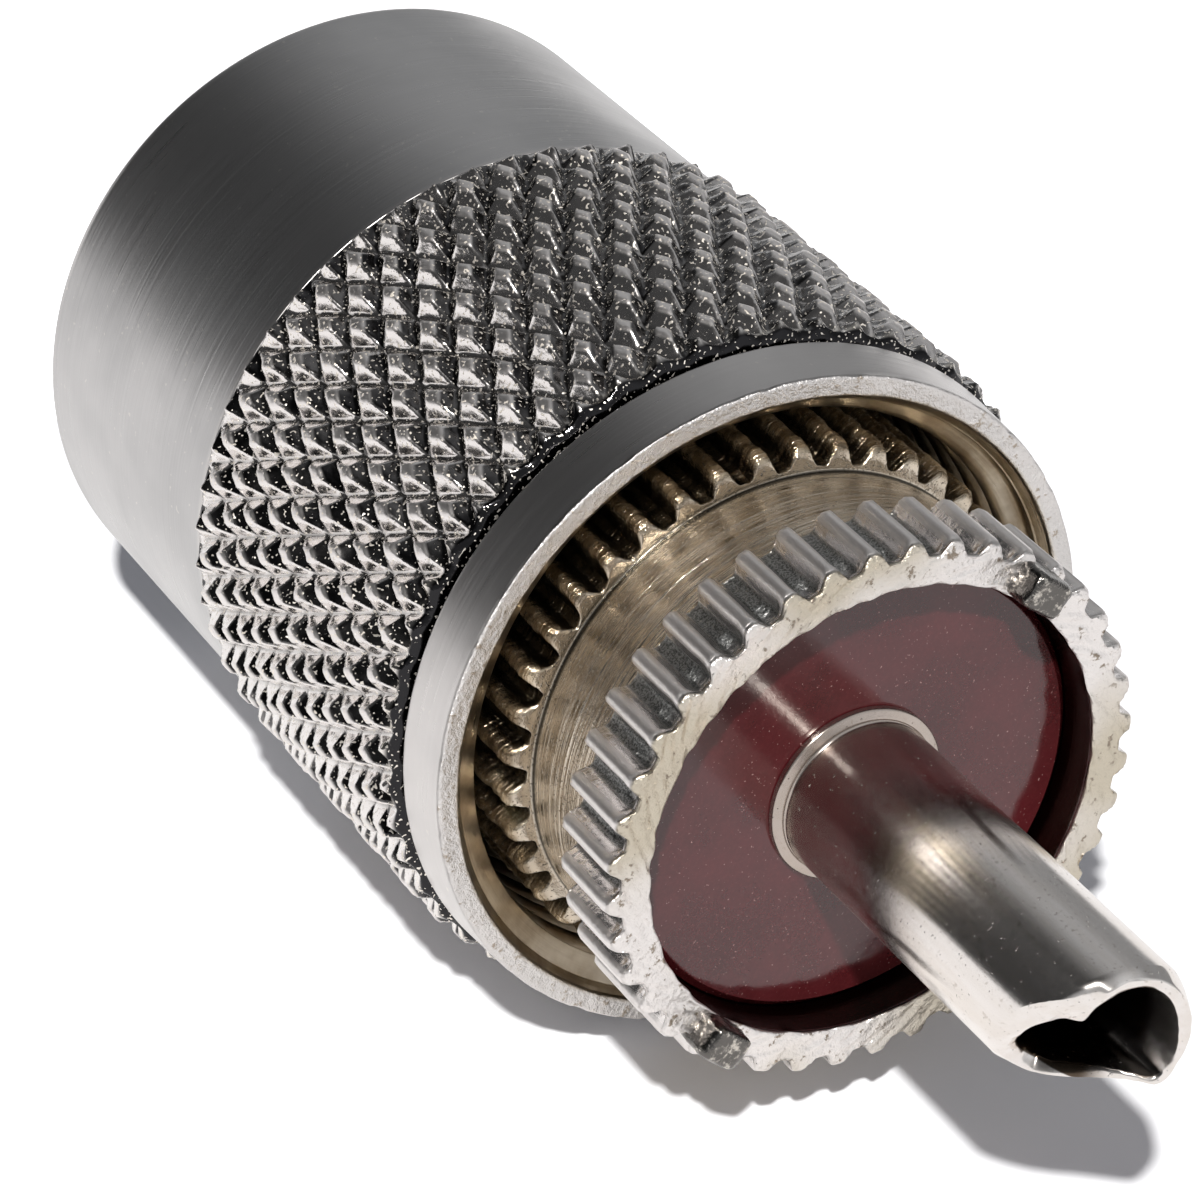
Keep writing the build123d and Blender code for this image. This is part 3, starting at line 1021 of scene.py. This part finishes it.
# Painted shade in the gaps between the flange's teeth.
gap_shade = distance.ramp((root + 0.10) * MM, (crest - 0.05) * MM, 1.0, 0.0) * below_neck
golden = graph.mix(gap_shade, golden, (0.09, 0.072, 0.050))
tint = graph.mix(in_collar, golden, (0.84, 0.80, 0.78))
grit = graph.noise(vector, 21000, 3.0, 0.7).ramp(0.40, 0.62)
tint = graph.mix(in_root, tint, graph.mix(grit, (0.12, 0.123, 0.12), (0.44, 0.44, 0.43)))
aged = graph.noise(vector, 130, 2.0, 0.5).ramp(0.46, 0.60)
tint = graph.mix(on_face * aged, tint, (0.60, 0.54, 0.44))
tint = graph.mix(on_face * pits.ramp(0.58, 0.66), tint, (0.30, 0.25, 0.20))
tint = graph.mix(bore_shade, tint, (0.07, 0.042, 0.034))
on_tooth = distance.ramp((root + 0.22) * MM, (crest - 0.10) * MM) * in_collar * (1 - on_face)
rough = 0.14 + grain * 0.06 + in_root * 0.20 + on_tooth * 0.24 + on_face * 0.18
normal = graph.bump(turning * (1 + (1 - in_collar) * 5.0), 0.016, 0.8)
normal = graph.bump(grain * (1 + in_root * 1.5 + on_flange), 0.03, 0.5, normal)
sparks = graph.noise(vector, 12000, 1.0, 0.5).ramp(0.63, 0.70)
normal = graph.bump(sparks * (1 - in_collar), 0.14, 1.0, normal)
normal = graph.bump(pits * on_face, 0.1, 0.9, normal)
graph.surface(Base_Color=tint, Metallic=1.0, Roughness=rough, Normal=normal)
plug_body.data.materials.append(body_metal)

# %% [markdown]
# ### Lugs
# The lugs look cast: dark and glossy, with lighter patches and a weak bump from the same noise.

# %% Lugs
lug_metal, graph = new_material("cast_lug")
vector, _ = graph.place()
pits = graph.noise(vector, 3800, 4.0, 0.7)
tint = graph.mix(pits.ramp(0.50, 0.66), (0.14, 0.132, 0.124), (0.62, 0.58, 0.52))
normal = graph.bump(pits, 0.04, 0.8)
graph.surface(Base_Color=tint, Metallic=1.0, Roughness=0.12 + pits * 0.10, Normal=normal)
for piece in lugs:
    piece.data.materials.append(lug_metal)

# %% [markdown]
# ### Red phenolic
# Phenolic is a hard moulded plastic, so it isn't metallic. Its filler shows as small light flecks, and
# its skin is glossy. A high index of refraction lets the dark red mirror the pin and the collar.

# %% Insulator
phenolic, graph = new_material("red_phenolic")
vector, _ = graph.place()
mottle = graph.noise(vector, 420, 4.0, 0.6)
flecks = graph.noise(vector, 16000, 1.0, 0.5).ramp(0.72, 0.78)
dots = graph.noise(vector, 9000, 3.0, 0.7).ramp(0.45, 0.7)
tint = graph.mix(mottle.ramp(0.3, 0.75), (0.048, 0.0052, 0.0068), (0.082, 0.0098, 0.0128))
tint = graph.mix(dots * 0.4, tint, (0.105, 0.016, 0.018))
tint = graph.mix(flecks * 0.6, tint, (0.50, 0.30, 0.28))
rough = 0.07 + mottle * 0.05 + dots * 0.03
normal = graph.bump(graph.noise(vector, 3000, 3.0, 0.6), 0.01, 0.3)
graph.surface(Base_Color=tint, Roughness=rough, Normal=normal, IOR=1.64)
insulator.data.materials.append(phenolic)

# %% [markdown]
# ### Drawn pin
# Drawing leaves faint streaks along the tube, and polishing rounds it off with marks that go across.
# Anisotropy turned by a quarter spreads each highlight along the axis, as on the real pin.

# %% Pin
pin_metal, graph = new_material("drawn_nickel")
vector, (x, y, z) = graph.place()
distance = (x * x + y * y) ** 0.5
streaks = graph.noise(vector, 2600, 3.0, 0.6, (1.0, 1.0, 0.12))
grain = graph.noise(vector, 5200, 3.0, 0.6)
dirt = graph.noise(vector, 6200, 3.0, 0.7).ramp(0.60, 0.70)
tint = graph.mix(streaks.ramp(0.3, 0.7), (0.80, 0.745, 0.700), (0.86, 0.815, 0.785))
tint = graph.mix(dirt * 0.4, tint, (0.34, 0.28, 0.22))
lit_mouth = 36.4, 37.0
# Painted shade: the bore is painted dark below the lit mouth.
bore_shade = distance.ramp(bore_radius * MM, (bore_radius + 0.04) * MM, 1.0, 0.0)
bore_shade = bore_shade * z.ramp(lit_mouth[0] * MM, lit_mouth[1] * MM, 1.0, 0.0)
tint = graph.mix(bore_shade, tint, (0.10, 0.075, 0.055))
# Darker brown towards the foot.
foot = z.ramp((face + 1.0) * MM, (face + 4.6) * MM, 1.0, 0.0)
tint = graph.mix(foot * 0.7, tint, (0.36, 0.285, 0.235))
rough = 0.12 + grain * 0.10 + foot * 0.05
sparks = graph.noise(vector, 9000, 1.0, 0.5).ramp(0.73, 0.78)
normal = graph.bump(streaks + grain * 0.5, 0.005, 0.6)
normal = graph.bump(sparks, 0.06, 0.9, normal)
graph.surface(
    Base_Color=tint,
    Metallic=1.0,
    Roughness=rough,
    Normal=normal,
    Anisotropic=0.7,
    Anisotropic_Rotation=0.25,
)
contact_pin.data.materials.append(pin_metal)
